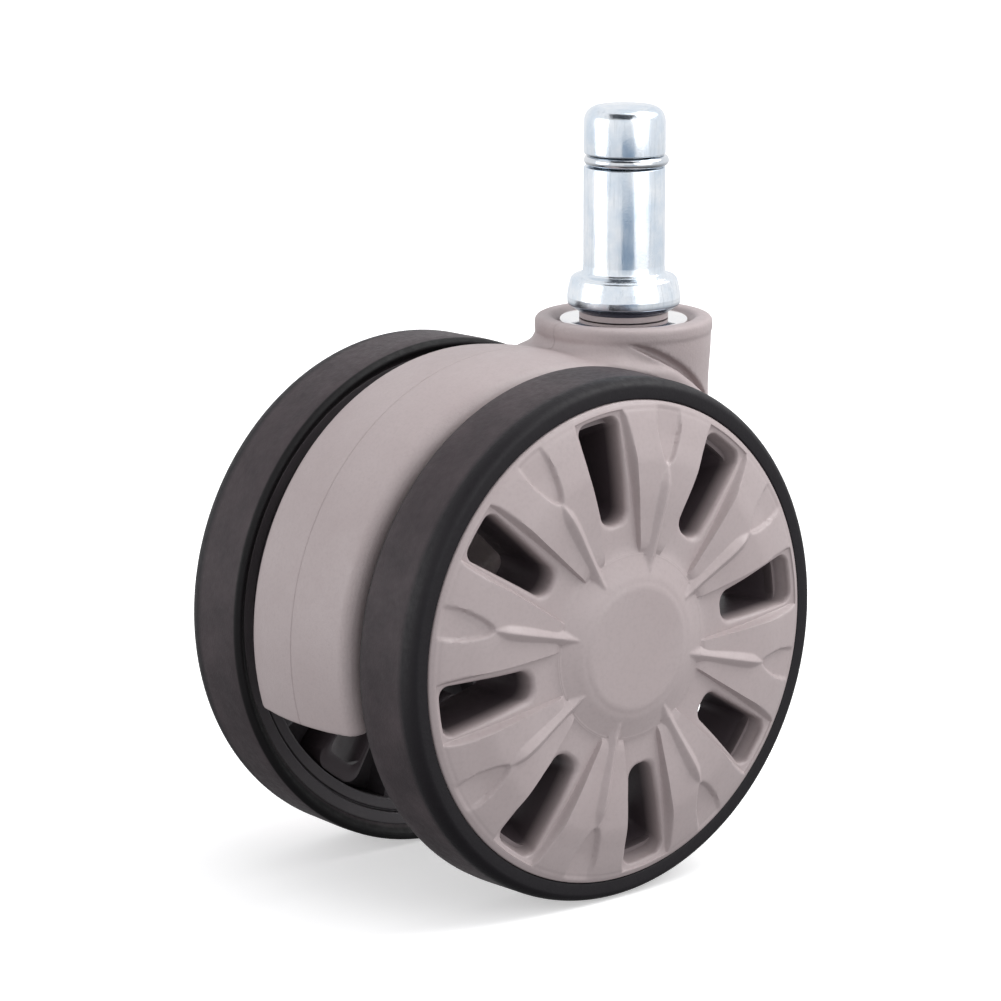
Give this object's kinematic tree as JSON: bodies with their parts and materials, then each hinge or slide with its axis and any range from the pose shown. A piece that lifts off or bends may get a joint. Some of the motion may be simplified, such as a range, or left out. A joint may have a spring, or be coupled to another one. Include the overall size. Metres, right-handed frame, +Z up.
{
  "type": "chair caster wheel",
  "caption": "Hooded twin-wheel swivel caster with slotted wheel covers, soft tread and a plug-in grip-ring stem for an office chair.",
  "frame": {"origin": "on the stem axis, where the stem's straight plug-in shaft meets the flare of its collar", "axes": "+Z up along the stem; the wheels' axle lies along Y and trails the stem towards -X; the right wheel is on -Y"},
  "size_m": [0.0636, 0.0492, 0.0916],
  "materials": {
    "zinc_plate": "bright zinc plate",
    "spring_steel": "polished spring wire",
    "dark_steel": "oiled spring steel",
    "bush_steel": "bright pressed steel",
    "axle_steel": "bright drawn steel",
    "taupe_plastic": "fine moulded texture",
    "cover_plastic": "satin moulded",
    "charcoal_plastic": "satin moulded",
    "tread": "soft satin tread",
    "white_nylon": "natural nylon"
  },
  "bodies": {
    "stem": {"stem": "zinc_plate", "grip_ring": "spring_steel", "thrust_washer": "taupe_plastic", "stem_clip": "dark_steel"},
    "housing": {"housing": "taupe_plastic", "swivel_bush": "bush_steel", "wear_disc": "bush_steel", "axle": "axle_steel", "right_spacer": "white_nylon", "left_spacer": "white_nylon", "right_retaining_ring": "dark_steel", "left_retaining_ring": "dark_steel"},
    "right_wheel": {"right_wheel_core": "charcoal_plastic", "right_tyre": "tread", "right_cover": "cover_plastic", "right_wheel_bush": "white_nylon"},
    "left_wheel": {"left_wheel_core": "charcoal_plastic", "left_tyre": "tread", "left_cover": "cover_plastic", "left_wheel_bush": "white_nylon"}
  },
  "joints": [
    {"name": "swivel", "type": "hinge", "parent": "stem", "child": "housing", "pos_m": [0, 0, 0], "axis": [0, 0, 1], "continuous": true},
    {"name": "right_wheel_spin", "type": "hinge", "parent": "housing", "child": "right_wheel", "pos_m": [-0.0193, 0, -0.0395], "axis": [0, 1, 0], "continuous": true},
    {"name": "left_wheel_spin", "type": "hinge", "parent": "housing", "child": "left_wheel", "pos_m": [-0.0193, 0, -0.0395], "axis": [0, 1, 0], "continuous": true}
  ]
}
